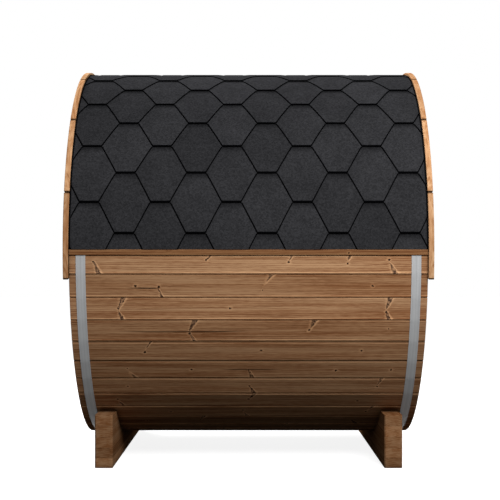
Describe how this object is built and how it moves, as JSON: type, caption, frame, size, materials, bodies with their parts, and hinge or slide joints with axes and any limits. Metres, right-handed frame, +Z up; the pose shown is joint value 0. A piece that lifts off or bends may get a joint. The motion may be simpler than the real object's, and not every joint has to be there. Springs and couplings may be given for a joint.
{
  "type": "barrel sauna",
  "caption": "Barrel sauna of wooden staves lying on two cradles, with steel hoops, boarded end walls and a curved roof of hexagonal bitumen shingles.",
  "frame": {"origin": "on the ground, in the middle of the footprint, under the middle of the barrel", "axes": "+X along the barrel towards the end with the door, +Z up, -Y the side that faces the viewer"},
  "size_m": [1.76, 1.99, 2.07],
  "materials": {
    "stave_wood": "planed heat-treated softwood with knots, oiled",
    "trim_wood": "planed heat-treated softwood, lighter, oiled",
    "wall_wood": "planed heat-treated softwood boards, oiled",
    "shingle": "bitumen shingle with fine black mineral grit, matt",
    "hoop_steel": "brushed stainless band",
    "hinge_steel": "brushed stainless"
  },
  "bodies": {
    "root": {"upper_back_staves": "stave_wood", "crown_staves": "stave_wood", "upper_front_staves": "stave_wood", "lower_front_staves": "stave_wood", "belly_staves": "stave_wood", "lower_back_staves": "stave_wood", "left_cradle": "trim_wood", "right_cradle": "trim_wood", "left_hoop": "hoop_steel", "right_hoop": "hoop_steel", "hoop_bolts": "hoop_steel", "front_shingles": "shingle", "back_shingles": "shingle", "ridge_strip": "shingle", "front_eave_batten": "trim_wood", "back_eave_batten": "trim_wood", "left_front_fascia": "trim_wood", "left_back_fascia": "trim_wood", "right_front_fascia": "trim_wood", "right_back_fascia": "trim_wood", "left_wall_boards": "wall_wood", "front_door_wall_boards": "wall_wood", "back_door_wall_boards": "wall_wood", "over_door_boards": "wall_wood", "under_door_boards": "wall_wood", "door_front_jamb": "trim_wood", "door_back_jamb": "trim_wood", "door_head": "trim_wood", "door_sill": "trim_wood", "door_leaf_boards": "wall_wood", "door_ledges": "wall_wood", "door_handle": "trim_wood", "door_hinges": "hinge_steel"}
  },
  "joints": []
}
